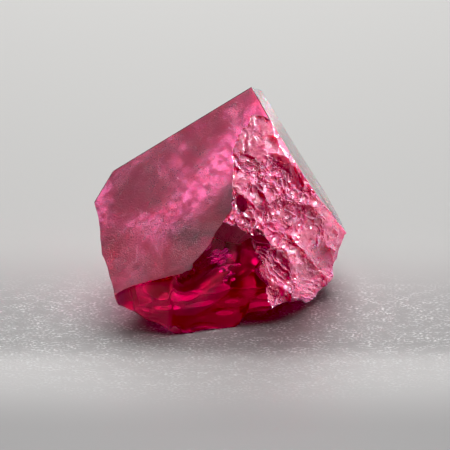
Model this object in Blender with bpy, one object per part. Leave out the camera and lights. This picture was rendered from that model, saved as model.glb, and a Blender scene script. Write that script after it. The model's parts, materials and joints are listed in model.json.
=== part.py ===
"""Red beryl crystal: a stubby six-sided prism, snapped off at one end, with a broken front and underside.

The crystal lies with its long (c) axis climbing to the right. One flat end face closes the upper end, the
left end is broken, and four side faces are whole: top, front, upper back and lower back. Each break is a
sheet laid out in a frame of its own (u across, v up, w out of the stone), that cuts the prism.
All sizes are in millimetres until a mesh is made.
"""

import math
import random

import bmesh
import bpy
import numpy as np
from mathutils import Matrix, Vector

MM = 0.001

# How the crystal lies
FRONT_TIP = math.radians(17)  # how far the frame of the broken front leans back
AXIS_CLIMB = math.radians(31.2)  # climb of the c axis in that frame
AXIS_FORWARD = math.radians(4.5)  # how far the upper end of the axis comes forward
ROLL = math.radians(3)  # turn of the prism about its axis
MIDDLE = (0.03, 4.93)  # x and y of the middle of the stone, which becomes the origin

# The prism
APEX = (1.28, 9.82, -1.70)  # u v w of the corner where the end, top and front faces meet
FACE_DISTANCES = (4.4, 4.6, 5.7, 4.5, 4.4, 4.0)  # side faces from the axis: top, front, then on round
ROUGH_BLOCK = 40.0  # the block that the faces are cut from
LEFT_BEVEL_FACES = (-0.87, 0.48, -0.12)
LEFT_BEVEL_AT = (-4.34, 6.42, -2.20)

# The whole front face ends at this edge, u and v, from the end face down to the left break
FRONT_EDGE = (
    (2.60, 8.30),
    (1.88, 8.54),
    (1.30, 8.66),
    (1.12, 8.26),
    (0.72, 7.80),
    (0.50, 7.10),
    (0.55, 6.40),
    (0.48, 5.40),
    (0.44, 4.85),
    (0.04, 4.26),
    (-0.22, 3.88),
    (-0.46, 3.40),
    (-1.02, 2.82),
    (-1.10, 2.52),
    (-1.45, 2.35),
    (-2.00, 2.20),
    (-3.16, 1.92),
    (-3.70, 1.74),
    (-4.10, 1.52),
    (-4.70, 1.10),
)
# The hackly break ends at this edge, from the front face down to the underside, and the scoop is left of it
ROUGH_EDGE = (
    (-0.90, 5.60),
    (0.44, 4.85),
    (0.92, 4.36),
    (1.20, 3.64),
    (1.50, 3.04),
    (1.72, 2.24),
    (1.90, 1.30),
    (2.10, 0.20),
    (2.20, -1.60),
)
ROUGH_EDGE_SLOPE = 0.8  # how steeply either surface leaves the other there
RIDGE_BLEND = 0.15  # rounding of the ridge between the scoops
SCOOP_BLEND = 0.9  # rounding where the scoops turn up into the cliff
EDGE_SLOPE = 2.2  # steepness of the small cliff below that edge
EDGE_STEP = 0.28  # height of the cliff where the rough break starts
LEAST_STEP = 0.06  # where that break's relief stands tall, it still stays this far under the front face

# The other breaks: which way each faces and a point of it, in the front frame
LEFT_BREAK_FACES = (-0.94, -0.35, -0.22)
LEFT_BREAK_AT = (-5.04, 5.04, -1.80)
RIGHT_BREAK_FACES = (0.94, -0.32, -0.12)
RIGHT_BREAK_AT = (5.00, 3.50, -3.00)

# Chips on the edges: side face, then along the axis from the end face, across the face, out of it, and radius
EDGE_CHIPS = (
    (5, 1.6, 4.6, 3.4, 4.2),
    (5, 5.6, 3.0, 4.75, 5.0),
)

# Growth steps, long strips parallel to the axis: side face, along the axis, across, length, width and depth
GROWTH_STEPS = (
    (5, 4.0, 3.2, 20.0, 3.0, 0.14),
    (5, 8.0, -1.9, 8.6, 2.2, 0.10),
    (0, 8.0, -1.95, 13.0, 1.5, 0.16),
)

# A shallow flat-bottomed terrace on the end face, with its side along the prism
TERRACE_TURN = math.radians(300)  # which side of the end face it is on, from the top face round
TERRACE_AT = 1.9  # from the middle of the end face
TERRACE_DEPTH = 0.12
TERRACE_REACH = 8.0  # far enough to run off the end face

# Finish
COLOUR = (0.60, 0.03, 0.11, 1.0)
ROUGHNESS = 0.25
IOR = 1.57


def unit(v):
    return np.array(v, float) / np.linalg.norm(v)


def frame_facing(w, up=(0, 0, 1)):
    """Columns u, v, w of a frame whose w points out of a break and whose v is as near up as it can be."""
    w = unit(w)
    u = unit(np.cross(up, w))
    return np.column_stack((u, np.cross(w, u), w))


def front_frame():
    s, c = math.sin(FRONT_TIP), math.cos(FRONT_TIP)
    return np.array(((1, 0, 0), (0, s, -c), (0, c, s)), float)


def axis_directions():
    """The c axis and the six outward side normals, in the front frame."""
    flat = math.cos(AXIS_FORWARD)
    axis = np.array((math.cos(AXIS_CLIMB) * flat, math.sin(AXIS_CLIMB) * flat, math.sin(AXIS_FORWARD)))
    top = np.array((-math.sin(AXIS_CLIMB), math.cos(AXIS_CLIMB), 0.0))
    front = np.cross(axis, top)
    turned_top = math.cos(ROLL) * top - math.sin(ROLL) * front
    turned_front = math.cos(ROLL) * front + math.sin(ROLL) * top
    turns = [math.radians(60 * k) for k in range(6)]
    return axis, [math.cos(t) * turned_top + math.sin(t) * turned_front for t in turns]


def axis_point(normals):
    """A point of the c axis: the apex, moved in from the top and front faces by their distances."""
    top, front = normals[0], normals[1]
    rows = np.array((top, front, np.cross(top, front)))
    wants = (top @ APEX - FACE_DISTANCES[0], front @ APEX - FACE_DISTANCES[1], rows[2] @ APEX)
    return np.linalg.solve(rows, wants)


def keep_behind(mesh, point, normal):
    """Cuts away what lies in front of a plane, and closes the cut."""
    geometry = mesh.verts[:] + mesh.edges[:] + mesh.faces[:]
    cut_away = bmesh.ops.bisect_plane(mesh, geom=geometry, plane_co=point, plane_no=normal, clear_outer=True)
    edges = [e for e in cut_away["geom_cut"] if isinstance(e, bmesh.types.BMEdge)]
    bmesh.ops.contextual_create(mesh, geom=edges)


def finished_object(name, mesh, collection):
    """An object made from the bmesh, with its faces turned outward."""
    bmesh.ops.recalc_face_normals(mesh, faces=mesh.faces[:])
    if mesh.calc_volume(signed=True) < 0:
        bmesh.ops.reverse_faces(mesh, faces=mesh.faces[:])
    data = bpy.data.meshes.new(name)
    mesh.to_mesh(data)
    mesh.free()
    piece = bpy.data.objects.new(name, data)
    collection.objects.link(piece)
    return piece


def make_prism(collection):
    """The crystal before it broke: six side faces, the flat upper end face and a bevel at the left."""
    to_world = front_frame()
    axis, normals = axis_directions()
    middle = axis_point(normals)
    mesh = bmesh.new()
    bmesh.ops.create_cube(mesh, size=ROUGH_BLOCK * MM)
    for normal, distance in zip(normals, FACE_DISTANCES):
        keep_behind(mesh, to_world @ (middle + normal * distance) * MM, to_world @ normal)
    keep_behind(mesh, to_world @ APEX * MM, to_world @ axis)
    keep_behind(mesh, to_world @ LEFT_BEVEL_AT * MM, to_world @ LEFT_BEVEL_FACES)
    return finished_object("crystal", mesh, collection)


class Bowls:
    """Overlapping shallow bowls over a rectangle. Where two meet they leave a crest."""

    def __init__(self, seed, low, high, spacing, depth, curve, stretch=1.0, heading=0.0, lean=0.0):
        rng = random.Random(seed)
        self.bowls = []
        self.along = math.cos(heading), math.sin(heading)
        self.stretch = stretch
        columns = math.ceil((high[0] - low[0]) / spacing)
        rows = math.ceil((high[1] - low[1]) / spacing)
        for i in range(-1, columns + 1):
            for j in range(-1, rows + 1):
                x = low[0] + (i + rng.uniform(0.1, 0.9)) * spacing
                y = low[1] + (j + rng.uniform(0.1, 0.9)) * spacing
                bend = 0.5 / (rng.uniform(0.6, 1.4) * curve)
                leans = rng.uniform(-lean, lean), rng.uniform(-lean, lean)
                self.bowls.append((x, y, rng.uniform(0, depth), bend, *leans))

    def height(self, u, v):
        lowest = np.full(np.shape(u), np.inf)
        c, s = self.along
        for x, y, level, bend, lean_u, lean_v in self.bowls:
            du, dv = u - x, v - y
            along, across = c * du + s * dv, (c * dv - s * du) * self.stretch
            lowest = np.minimum(lowest, level + bend * (along**2 + across**2) + lean_u * du + lean_v * dv)
        return lowest


def smooth_path(points, steps=4):
    """A Catmull-Rom curve through the points."""
    p = np.array(points, float)
    p = np.vstack((2 * p[0] - p[1], p, 2 * p[-1] - p[-2]))
    t = np.linspace(0, 1, steps, endpoint=False)[:, None]
    runs = []
    for a, b, c, d in zip(p, p[1:], p[2:], p[3:]):
        bend, twist = 2 * a - 5 * b + 4 * c - d, 3 * b - a - 3 * c + d
        runs.append(0.5 * (2 * b + (c - a) * t + bend * t**2 + twist * t**3))
    return np.vstack((*runs, p[-2]))


def beyond_path(path, u, v):
    """Distance from the path, positive to the left of someone who walks it from first to last point."""
    best = np.full(np.shape(u), np.inf)
    side = np.ones(np.shape(u))
    for (ax, ay), (bx, by) in zip(path, path[1:]):
        ex, ey = bx - ax, by - ay
        t = np.clip(((u - ax) * ex + (v - ay) * ey) / (ex * ex + ey * ey), 0, 1)
        away = np.hypot(u - ax - t * ex, v - ay - t * ey)
        nearer = away < best - 1e-9
        side = np.where(nearer, np.sign((v - ay) * ex - (u - ax) * ey), side)
        best = np.where(nearer, away, best)
    return best * side


def front_face(u, v):
    """Depth w of the whole front face."""
    n = axis_directions()[1][1]
    return APEX[2] - ((u - APEX[0]) * n[0] + (v - APEX[1]) * n[1]) / n[2]


def edge_cliff(u, v):
    """Stands in front of the front face inside its edge, and falls away behind it outside."""
    return front_face(u, v) - EDGE_SLOPE * np.maximum(beyond_path(smooth_path(FRONT_EDGE), u, v), -0.4)


def hackly(u, v):
    """Rough relief of the right-hand break: bowls drawn out down the slope, with finer ones on them."""
    coarse = Bowls(3, (-1.0, -1.0), (6.0, 10.0), 1.0, 0.35, 1.2, 1.7, math.radians(-55))
    fine = Bowls(5, (-1.0, -1.0), (6.0, 10.0), 0.5, 0.16, 0.5, 1.3, math.radians(-60))
    return 0.8 * coarse.height(u, v) + fine.height(u, v) - 0.25


def rough_break(u, v):
    """The hackly break right of the front face, which turns away from the front towards the right."""
    upper = -0.80 - 0.42 * (u - 1.92) - 0.20 * (v - 8.56)
    lower = -0.30 - 0.46 * (u - 1.24) + 0.12 * (v - 3.64)
    right = -1.20 - 1.85 * (u - 3.20) + 0.50 * (v - 3.64)
    face = front_face(u, v)
    whole = np.minimum.reduce((upper, lower, right, face - EDGE_STEP)) + hackly(u, v)
    kept_under = np.minimum(whole, face - LEAST_STEP)
    return kept_under + ROUGH_EDGE_SLOPE * np.maximum(-beyond_path(smooth_path(ROUGH_EDGE), u, v), 0)


def main_scoop(u, v):
    """The big smooth shell-like scoop below the front face."""
    return -0.45 - 0.33 * (u - 0.4) + 0.10 * (v - 1.0) + 0.05 * (u - 0.4) ** 2 + 0.02 * (v - 2.0) ** 2


def left_scoop(u, v):
    return 0.30 + 0.31 * (u + 2.8) + 0.15 * (v - 1.0) + 0.08 * (u + 2.8) ** 2


def soft_min(a, b, blend):
    """The lower of two heights, with the crest where they meet rounded off."""
    share = np.clip(0.5 + 0.5 * (b - a) / blend, 0, 1)
    return b + (a - b) * share - blend * share * (1 - share)


def front_break(u, v):
    """All the breaks of the front as one height, in front of the whole front face wherever that is kept."""
    cliff = edge_cliff(u, v)
    scoops = soft_min(main_scoop(u, v), left_scoop(u, v), RIDGE_BLEND)
    scoops += ROUGH_EDGE_SLOPE * np.maximum(beyond_path(smooth_path(ROUGH_EDGE), u, v), 0)
    return np.minimum(-soft_min(-scoops, -cliff, SCOOP_BLEND), np.maximum(rough_break(u, v), cliff))


def left_end(u, v):
    """The snapped left end: a few wide bowls."""
    wide = Bowls(11, (-6.0, -6.0), (6.0, 6.0), 2.6, 0.15, 9.0)
    small = Bowls(12, (-6.0, -6.0), (6.0, 6.0), 0.9, 0.08, 2.2)
    return wide.height(u, v) + 0.5 * small.height(u, v) - 0.15


def lower_right(u, v):
    """The crumbled lower right side."""
    wide = Bowls(21, (-6.0, -6.0), (6.0, 6.0), 1.5, 0.35, 1.6)
    small = Bowls(22, (-6.0, -6.0), (6.0, 6.0), 0.6, 0.2, 0.6)
    return wide.height(u, v) + 0.6 * small.height(u, v) - 0.35


def underside(u, v):
    """The broken underside, seen from below: u is -x, v is y, and w is depth below the floor."""
    x, y = -u, v
    left = np.maximum(0.38 * (-1.32 - x) - 0.22 * (y - 0.2), 1.5 * (-3.85 - x) + 0.6)
    notch = 0.60 + 0.05 * (x - 2.0), 1.2 * (x - 0.55), 1.2 * (3.7 - x), 0.6 * (3.9 - y)
    right = np.minimum.reduce(notch)
    back = 0.55 * (y - 6.2)
    spine = np.clip((y - 0.3) / 4.2, 0, 1)
    keel = 0.06 * np.maximum(np.hypot(x + 0.6 - 0.9 * spine, y - 0.3 - 4.2 * spine) - 1.3, 0) ** 2
    bowls = Bowls(31, (-6.0, -3.0), (6.0, 11.0), 1.3, 0.25, 2.0)
    return -np.maximum.reduce((left, right, back, keel)) + bowls.height(u, v) - 0.14


def sheet_cutter(name, collection, frame, height, low, high, step, at=(0, 0, 0), reach=12.0):
    """A solid whose inner side is the sheet w = height(u, v), for cutting away all that lies outside it."""
    columns, rows = (math.ceil((high[i] - low[i]) / step) for i in (0, 1))
    mesh = bmesh.new()
    bmesh.ops.create_grid(mesh, x_segments=columns, y_segments=rows, size=0.5)
    flat = np.array([v.co for v in mesh.verts])
    u, v = (low[i] + (flat[:, i] + 0.5) * (high[i] - low[i]) for i in (0, 1))
    inner = np.column_stack((u, v, np.minimum(height(u, v), reach - 1)))
    for vert, place in zip(mesh.verts, inner):
        vert.co = place
    grown = bmesh.ops.extrude_face_region(mesh, geom=mesh.faces[:])["geom"]
    for vert in grown:
        if isinstance(vert, bmesh.types.BMVert):
            vert.co.z = reach
    to_world = Matrix.Translation(Vector(at) * MM) @ Matrix(frame * MM).to_4x4()
    bmesh.ops.transform(mesh, matrix=to_world, verts=mesh.verts)
    return as_cutter(finished_object(name, mesh, collection))


def box_cutter(name, collection, frame, at, size):
    """A box of the given size along the frame's u, v and w, with its middle at a point."""
    mesh = bmesh.new()
    bmesh.ops.create_cube(mesh, size=1.0)
    to_world = Matrix.Translation(Vector(at) * MM) @ Matrix(frame * MM).to_4x4()
    bmesh.ops.transform(mesh, matrix=to_world @ Matrix.Diagonal((*size, 1.0)), verts=mesh.verts)
    return as_cutter(finished_object(name, mesh, collection))


def ball_cutter(name, collection, at, radius):
    mesh = bmesh.new()
    bmesh.ops.create_icosphere(mesh, subdivisions=4, radius=radius * MM)
    bmesh.ops.translate(mesh, vec=Vector(at) * MM, verts=mesh.verts)
    return as_cutter(finished_object(name, mesh, collection))


def as_cutter(piece):
    piece.hide_render = True
    piece.display_type = "WIRE"
    return piece


def combine(piece, other, operation):
    boolean = piece.modifiers.new(other.name, "BOOLEAN")
    boolean.operation = operation
    boolean.solver = "EXACT"
    boolean.object = other


def prism_point(side, along, across, out):
    """A point by a side face: down the c axis from the apex, across from the face's middle, and out of it."""
    axis, normals = axis_directions()
    middle = axis_point(normals)
    start = middle + axis * (axis @ (np.array(APEX) - middle))
    n = normals[side]
    to_face = n * (FACE_DISTANCES[side] + out) + np.cross(axis, n) * across
    return front_frame() @ (start - axis * along + to_face)


def make_small_cutters(cutters):
    """Chips off the edges, shallow growth steps on the top and back faces, and the terrace on the end."""
    axis, normals = axis_directions()
    to_world = front_frame()
    made = []
    for i, (side, along, across, out, radius) in enumerate(EDGE_CHIPS):
        made.append(ball_cutter(f"chip_{i + 1}", cutters, prism_point(side, along, across, out), radius))
    for i, (side, along, across, length, width, depth) in enumerate(GROWTH_STEPS):
        frame = to_world @ np.column_stack((axis, np.cross(normals[side], axis), normals[side]))
        at = prism_point(side, along, across, 0)
        made.append(box_cutter(f"growth_step_{i + 1}", cutters, frame, at, (length, width, 2 * depth)))
    outward = math.cos(TERRACE_TURN) * normals[0] + math.sin(TERRACE_TURN) * normals[1]
    outward = unit(outward - axis * (axis @ outward))
    frame = to_world @ np.column_stack((outward, np.cross(axis, outward), axis))
    at = prism_point(0, 0, 0, -FACE_DISTANCES[0]) + frame[:, 0] * (TERRACE_AT + TERRACE_REACH / 2)
    size = (TERRACE_REACH, 3 * TERRACE_REACH, 2 * TERRACE_DEPTH)
    made.append(box_cutter("end_terrace", cutters, frame, at, size))
    return made


def beryl():
    material = bpy.data.materials.new("red_beryl")
    material.use_nodes = True
    shader = material.node_tree.nodes["Principled BSDF"]
    shader.inputs["Base Color"].default_value = COLOUR
    shader.inputs["Roughness"].default_value = ROUGHNESS
    shader.inputs["IOR"].default_value = IOR
    shader.inputs["Transmission Weight"].default_value = 0.8
    return material


def main():
    for old in list(bpy.data.objects):
        bpy.data.objects.remove(old)
    parts = bpy.data.collections.new("red_beryl_crystal")
    cutters = bpy.data.collections.new("cutters")
    for collection in (parts, cutters):
        bpy.context.scene.collection.children.link(collection)
    crystal = make_prism(parts)
    crystal.data.materials.append(beryl())
    front = front_frame()
    left = frame_facing(front @ LEFT_BREAK_FACES)
    right = frame_facing(front @ RIGHT_BREAK_FACES)
    under = frame_facing((0, 0, -1), up=(0, 1, 0))
    wide = (-9.0, -9.0), (9.0, 9.0)
    breaks = [
        sheet_cutter("front_break", cutters, front, front_break, (-6.3, -2.3), (6.6, 10.6), 0.2),
        sheet_cutter("left_end", cutters, left, left_end, *wide, 0.4, at=front @ LEFT_BREAK_AT),
        sheet_cutter("lower_right", cutters, right, lower_right, *wide, 0.3, at=front @ RIGHT_BREAK_AT),
        sheet_cutter("underside", cutters, under, underside, (-10.0, -6.0), (10.0, 14.0), 0.35),
    ]
    resting_cut = box_cutter("resting_cut", cutters, under, (0, 0, -10), (40, 40, 20))
    for cutter in (*breaks, *make_small_cutters(cutters), resting_cut):
        combine(crystal, cutter, "DIFFERENCE")
    stone = bpy.data.objects.new("stone", None)
    parts.objects.link(stone)
    stone.location = -Vector((*MIDDLE, 0.0)) * MM
    for piece in (*parts.objects, *cutters.objects):
        if piece is not stone:
            piece.parent = stone


main()
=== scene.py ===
"""Red beryl crystal, finished: a stubby six-sided prism whose natural faces are finely etched.

It is broken shell-like below and hackly at the right. The script is laid out as an add-on: one operator
carves the stone, and one sets the stage. Lengths in the shape functions are millimetres, in the same frames
as the solid: u across, v up, w out of a break.
"""

import json
import math
import random

import bmesh
import bpy
import numpy as np
from mathutils import Matrix, Vector, noise

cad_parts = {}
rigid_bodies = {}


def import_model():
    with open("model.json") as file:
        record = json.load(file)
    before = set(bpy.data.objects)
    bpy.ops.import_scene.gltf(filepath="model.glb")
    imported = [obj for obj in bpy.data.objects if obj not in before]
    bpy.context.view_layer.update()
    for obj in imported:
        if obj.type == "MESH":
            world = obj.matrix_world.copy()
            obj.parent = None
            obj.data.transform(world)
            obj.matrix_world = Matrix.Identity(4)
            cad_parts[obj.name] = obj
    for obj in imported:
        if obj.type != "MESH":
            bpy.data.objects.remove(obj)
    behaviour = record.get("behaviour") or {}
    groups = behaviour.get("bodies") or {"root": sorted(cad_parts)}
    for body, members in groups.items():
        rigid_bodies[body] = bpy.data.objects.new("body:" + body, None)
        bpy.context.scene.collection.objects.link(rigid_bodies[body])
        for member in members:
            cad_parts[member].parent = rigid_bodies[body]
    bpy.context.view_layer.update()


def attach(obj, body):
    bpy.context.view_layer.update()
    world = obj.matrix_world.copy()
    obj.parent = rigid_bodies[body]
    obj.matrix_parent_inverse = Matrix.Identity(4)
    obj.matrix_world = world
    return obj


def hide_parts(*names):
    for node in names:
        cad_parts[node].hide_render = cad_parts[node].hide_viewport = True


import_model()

bl_info = {
    "name": "Red beryl crystal",
    "version": (1, 0, 0),
    "blender": (4, 5, 0),
    "location": "3D View > Sidebar > Red beryl",
    "description": "Carves a broken red beryl crystal and sets a plain stage for it",
    "category": "Add Mesh",
}

MM = 0.001

# What each cutter leaves behind it, kept in the slots of its faces until the stone is carved
# The dull and worn kinds are rough breaks that are also painted dark, as painted shade seen through the stone
KINDS = ("natural", "glassy", "hackly", "dull_painted_dark", "worn_painted_dark")
NATURAL, GLASSY, HACKLY, DULL_PAINTED_DARK, WORN_PAINTED_DARK = range(5)

# How the crystal lies
FRONT_TIP = math.radians(17)  # how far the frame of the broken front leans back
AXIS_CLIMB = math.radians(31.2)  # climb of the c axis in that frame
AXIS_FORWARD = math.radians(4.5)  # how far the upper end of the axis comes forward
ROLL = math.radians(3)  # turn of the prism about its axis
MIDDLE = (0.03, 4.93)  # x and y of the middle of the stone, which becomes the origin

# The prism
APEX = (1.28, 9.82, -1.70)  # u v w of the corner where the end, top and front faces meet
FACE_DISTANCES = (4.4, 4.6, 5.7, 4.5, 4.4, 4.0)  # side faces from the axis: top, front, then on round
ROUGH_BLOCK = 22.0  # the block that the faces are cut from
PRISM_BEVEL = 0.035  # natural edges are not quite sharp
END_FACE_ETCH = 0.4  # the flat end face is less etched than the side faces
ALONG_AXIS = 0.99  # a face is part of the end face if its normal is this near the c axis, as a cosine
LEFT_BEVEL_FACES = (-0.87, 0.48, -0.12)
LEFT_BEVEL_AT = (-4.34, 6.42, -2.20)

# The whole front face ends at this edge, u and v, from the end face down to the left break
FRONT_EDGE = (
    (2.60, 8.30),
    (1.88, 8.54),
    (1.30, 8.66),
    (1.12, 8.26),
    (0.72, 7.80),
    (0.50, 7.10),
    (0.55, 6.40),
    (0.48, 5.40),
    (0.44, 4.85),
    (0.04, 4.26),
    (-0.22, 3.88),
    (-0.46, 3.40),
    (-1.02, 2.82),
    (-1.10, 2.52),
    (-1.45, 2.35),
    (-2.00, 2.20),
    (-3.16, 1.92),
    (-3.70, 1.74),
    (-4.10, 1.52),
    (-4.70, 1.10),
)
SCOOP_TOP = FRONT_EDGE[:12] + FRONT_EDGE[14:]  # the same without its small corner, above the scoops
EDGE_SLOPE = 3.0  # steepness of the small cliff below that edge
EDGE_STEP = 0.16  # height of the cliff where the rough break starts
LEAST_STEP = 0.06  # where that break's relief stands tall, it still stays this far under the front face
CLIFF_BLEND = 0.04  # rounding where the rough break meets the cliff
SCOOP_FALL = 0.40  # how far out from that edge most of the way down to the scoops is done
RIDGE_BLEND = 0.15  # rounding of the ridge between the scoops
# The hackly break ends at this edge, from the front face down to the underside. The scoop is left of it
ROUGH_EDGE = (
    (-0.90, 5.60),
    (0.44, 4.85),
    (0.92, 4.36),
    (1.20, 3.64),
    (1.50, 3.04),
    (1.72, 2.24),
    (1.90, 1.30),
    (2.10, 0.20),
    (2.20, -1.60),
)
ROUGH_EDGE_SLOPE = 0.8  # how steeply either surface leaves the other there
# Smooth patches on it: middle, half length and half width, heading of the length in degrees, and what it is
SMOOTH_PATCHES = (
    ((2.34, 7.25), 1.15, 0.50, -62, HACKLY),
    ((0.87, 5.08), 0.50, 0.28, -78, GLASSY),
    ((1.60, 3.75), 0.50, 0.30, -60, GLASSY),
)
# Waves that the splinters and the rough edge wander in: size, rates across and up, and start
SPLINTERS_ACROSS = ((0.26, 0.9, 1.7, 0), (0.14, 4.3, -3.1, 0), (0.05, 6.0, 11.0, 0))
SPLINTERS_UP = ((0.26, 1.5, -1.9, 1), (0.14, 3.7, 4.1, 0), (0.05, 13.0, -5.0, 0))
ROUGH_EDGE_WAVES = ((0.16, 0, 3.1, 0.6), (0.09, 2.0, 7.3, 0))

# The other breaks: which way each faces and a point of it, in the front frame
LEFT_BREAK_FACES = (-0.94, -0.35, -0.22)
LEFT_BREAK_AT = (-5.04, 5.04, -1.80)
RIGHT_BREAK_FACES = (0.94, -0.32, -0.12)
RIGHT_BREAK_AT = (5.00, 3.50, -3.00)

# How much of each break's sheet has relief, and how much of the sheet there is, from low to high u and v
FRONT_SHEET = (-6.3, -2.3), (6.6, 10.6)
HACKLY_RELIEF = (-1.0, -1.0), (6.0, 10.0)
SIDE_RELIEF = (-6.0, -6.0), (6.0, 6.0)
SIDE_SHEET = (-9.0, -9.0), (9.0, 9.0)
UNDER_RELIEF = (-6.0, -3.0), (6.0, 11.0)
UNDER_SHEET = (-11.5, -7.5), (11.5, 14.0)
CUTTER_REACH = 12.0  # how far out of the stone a sheet's cutter goes

# Chips on the edges: side face, then along the axis from the end face, across it, out of it, and radius
EDGE_CHIPS = (
    (5, 1.6, 4.6, 3.4, 4.2),
    (5, 5.6, 3.0, 4.75, 5.0),
)

# Growth steps, long strips parallel to the axis: side face, then along the axis, across, length, width, depth
GROWTH_STEPS = (
    (5, 4.0, 3.2, 20.0, 3.0, 0.14),
    (5, 8.0, -1.9, 8.6, 2.2, 0.10),
    (0, 8.0, -1.95, 13.0, 1.5, 0.16),
)

# A shallow flat-bottomed terrace on the end face, with its side along the prism
TERRACE_TURN = math.radians(300)  # which side of the end face it is on, from the top face round
TERRACE_AT = 1.9  # from the middle of the end face
TERRACE_DEPTH = 0.12
TERRACE_REACH = 8.0  # far enough to run off the end face

# Clusters of small cracks inside: middle and facing in the front frame, spread, number, half length
CRACK_CLUSTERS = (
    ((-0.50, 3.12, -1.1), (0.08, 0.69, 0.72), 0.24, 9, 0.30),
    ((-0.04, 2.98, -1.1), (0.02, 0.70, 0.71), 0.22, 9, 0.26),
    ((0.26, 2.40, -1.4), (0.02, 0.70, 0.71), 0.40, 8, 0.18),
    ((-1.9, 4.4, -1.9), (-0.20, 0.70, 0.69), 0.80, 6, 0.22),
)
CRACK_LEAN = 0.14  # how much each turns from that facing
CRACK_GAP = 0.012
CRACK_SPACING = 0.12  # from one to the next in a cluster, so they stay clear of each other
CRACK_WAVE = 0.03
CRACK_RIPPLE = 0.12  # length of the waves
CRACK_RAGGED = 0.8  # unevenness of the outline, as a share of its size

SHARP_ANGLE = math.radians(28)  # edges sharper than this show as edges

# A plane of cloudy veils that crosses the crystal: which way it faces, a point of it, and how thick it is
VEIL_FACES = (-0.77, 0.64, 0.0)
VEIL_AT = (-0.9, 5.44, -2.0)
VEIL_CORE, VEIL_HALF_WIDTH = 0.1, 1.2
SHADED_BELOW = (2.6, 4.5)  # the front face darkens between these distances down from its top edge
SHADED_ALONG = (-5.5, 2.5)  # and along the c axis between these, from the left end to the right
DRAWN_OUT = 0.12  # the lines of growth are stretched this much along the c axis

# Cloudy patterns in the beryl: size of the lumps in mm, values that become 0 and 1, detail and twist. The
# pits, dust and satin of real etching are finer than this. They are drawn as coarse as they need to show.
CLOUDS = {
    "broad": (2.2, 0.44, 0.70, 5.0, 0.5),
    "wisps": (0.34, 0.34, 0.72, 8.0, 0.3),
    "uneven": (1.5, 0.40, 0.70, 5.0, 0.5),
    "pits": (0.055, 0.57, 0.68, 1.0, 0.0),
    "pit_fields": (1.3, 0.46, 0.58, 2.0, 0.5),
    "dust": (0.09, 0.30, 0.70, 3.0, 0.0),
    "glitter": (0.10, 0.30, 0.70, 2.0, 0.5),
    "satin": (0.07, 0.20, 0.80, 2.0, 0.0),
    "lines": (0.16, 0.30, 0.70, 3.0, 0.0),
}
CLOUD_ROUGHNESS = 0.62
# How they are put together, in order: what is made, how, and from what. Each stays between 0 and 1.
SUMS = (
    ("uneven", "MULTIPLY_ADD", "uneven", 0.5, 0.5),
    ("shade", "MAXIMUM", "along", "low"),
    ("shade", "MULTIPLY", "shade", "uneven"),
    ("pits", "MULTIPLY", "pits", "pit_fields"),
    ("broad", "MULTIPLY", "broad", 0.9),
    ("veil", "MAXIMUM", "broad", "by_veil"),
    ("wispy", "ADD", "wisps", 0.30),
    ("veil", "MULTIPLY", "veil", "wispy"),
    ("veil", "MULTIPLY", "veil", "kept"),
    ("dust", "MULTIPLY_ADD", "dust", 0.5, 0.6),
    ("veil", "MULTIPLY", "veil", "dust"),
    # glitter breaks the crests' painted highlight into sparkles
    ("glitter", "ADD", "glitter", 0.45),
    ("bright", "MULTIPLY", "bright", "glitter"),
    ("lines", "MULTIPLY", "lines", "etched"),
    ("satin", "MULTIPLY", "satin", "etched"),
    ("relief", "MULTIPLY_ADD", "lines", 0.3, "satin"),
    ("etched_pits", "MULTIPLY", "pits", "etched"),
    ("relief", "SUBTRACT", "relief", "etched_pits"),
)
SHADE_AT_LEFT = 0.86  # how dark the shade is where it starts along the c axis
VEILS_KEPT_LOW = 0.25  # the share of the veils that is left in the shaded lower part
CREST_HEIGHTS = (-0.16, 0.36)  # the splinters' heights from dark hollow to pale crest; the crests scatter more and are also painted pale as a highlight
# Finishes: roughness, and the share of light that goes in instead of scattering
GLASSY_FINISH = (0.03, 1.0)
DULL_FINISH = (0.25, 0.55)
HACKLY_FINISH = (0.08, 0.84)  # in its hollows, since its crests scatter more
FROST_SPREAD = (0.8, 1.2)  # the etched faces' roughness varies between these shares of the frost
WORN_PAINTED_DARK_SHARE = 0.8  # how much of the dull finish and its painted dark shade a worn break gets, beside a dull one
BERYL_IOR = 1.57
ETCH_DEPTH = 0.008  # of the relief of the etched faces
SKIN_DEPTH = 0.5  # how far light spreads under the skin of whatever part scatters it
SKIN_REACH = (1.0, 0.25, 0.4)  # of red, green and blue, as shares of that

# The stage: how deep the card's painted light and shade and its grain go, in mm of y, and the lamps
# The card's tone is painted light and shade: paler behind the stone as painted light, darker under and just
# in front of it as a painted shadow, paler in a band further in front, and darker towards the front as
# painted falloff of the light
PAINTED_LIGHT_BEHIND = (-3.0, 8.0)
PAINTED_FALLOFF_IN_FRONT = (-17.0, -9.5)
PAINTED_LIGHT_PAST_SHADOW = (-6.2, -9.0)
GRAIN_MIDDLE = (0, -5.0)
GRAIN_REACH = (12, 7)  # half width and half depth of the ellipse that is grained
GRAIN_FADE = (0.6, 1.4)  # the grain fades out between these shares of it
GRAIN_HEIGHT = 0.05
# Size of the grains and of the patches where their tops are painted white as sparkle, their detail, and the
# values that become 0 and 1
GRAIN = (0.13, 3.0, 0.49, 0.62)
PATCHES = (0.7, 2.0, 0.35, 0.65)
CARD_ROUGHNESS = 0.5
FLOOR_SIZE = 1500  # from its middle to its side
FLOOR_GAP = 0.03  # the stone stands on a few high points, so light gets in under it
LAMP_AIM = (0, 0, 4)  # the middle of the stone
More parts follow.
